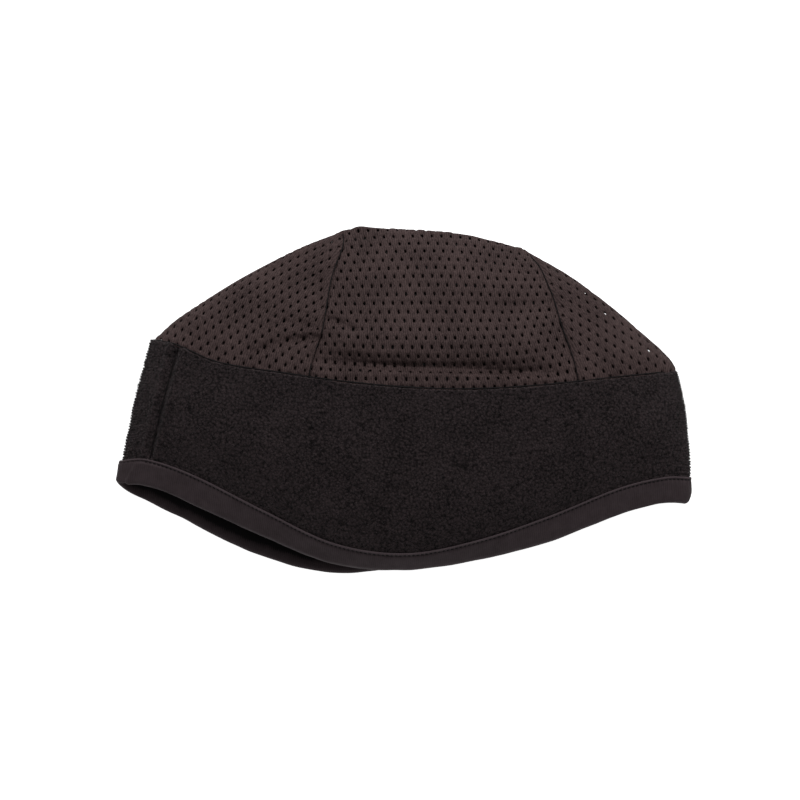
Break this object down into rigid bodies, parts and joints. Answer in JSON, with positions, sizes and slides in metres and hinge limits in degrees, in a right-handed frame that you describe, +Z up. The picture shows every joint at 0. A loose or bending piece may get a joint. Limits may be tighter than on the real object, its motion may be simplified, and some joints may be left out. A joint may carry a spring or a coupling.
{
  "type": "mesh-top fleece headband",
  "caption": "Close-fitting winter cap lying on its side: a deep fleece band over brow, ears and nape, a bound hem, and a closed crown of perforated mesh cloth.",
  "frame": {"origin": "on the surface that the cap lies on, under the centre of its outline", "axes": "+X from the nape fold to the brow fold, +Y from the hem to the top of the crown, +Z up, away from the surface"},
  "size_m": [0.27, 0.1615, 0.0361],
  "materials": {
    "fleece": "black brushed fleece with a short matted pile",
    "binding": "smooth black stretch jersey with a faint sheen",
    "mesh_cloth": "brown-black knitted mesh with small oval eyelets"
  },
  "bodies": {
    "root": {"fleece_band": "fleece", "hem_binding": "binding", "crown_centre_panel": "mesh_cloth", "crown_nape_panel": "mesh_cloth", "crown_brow_panel": "mesh_cloth"}
  },
  "joints": []
}
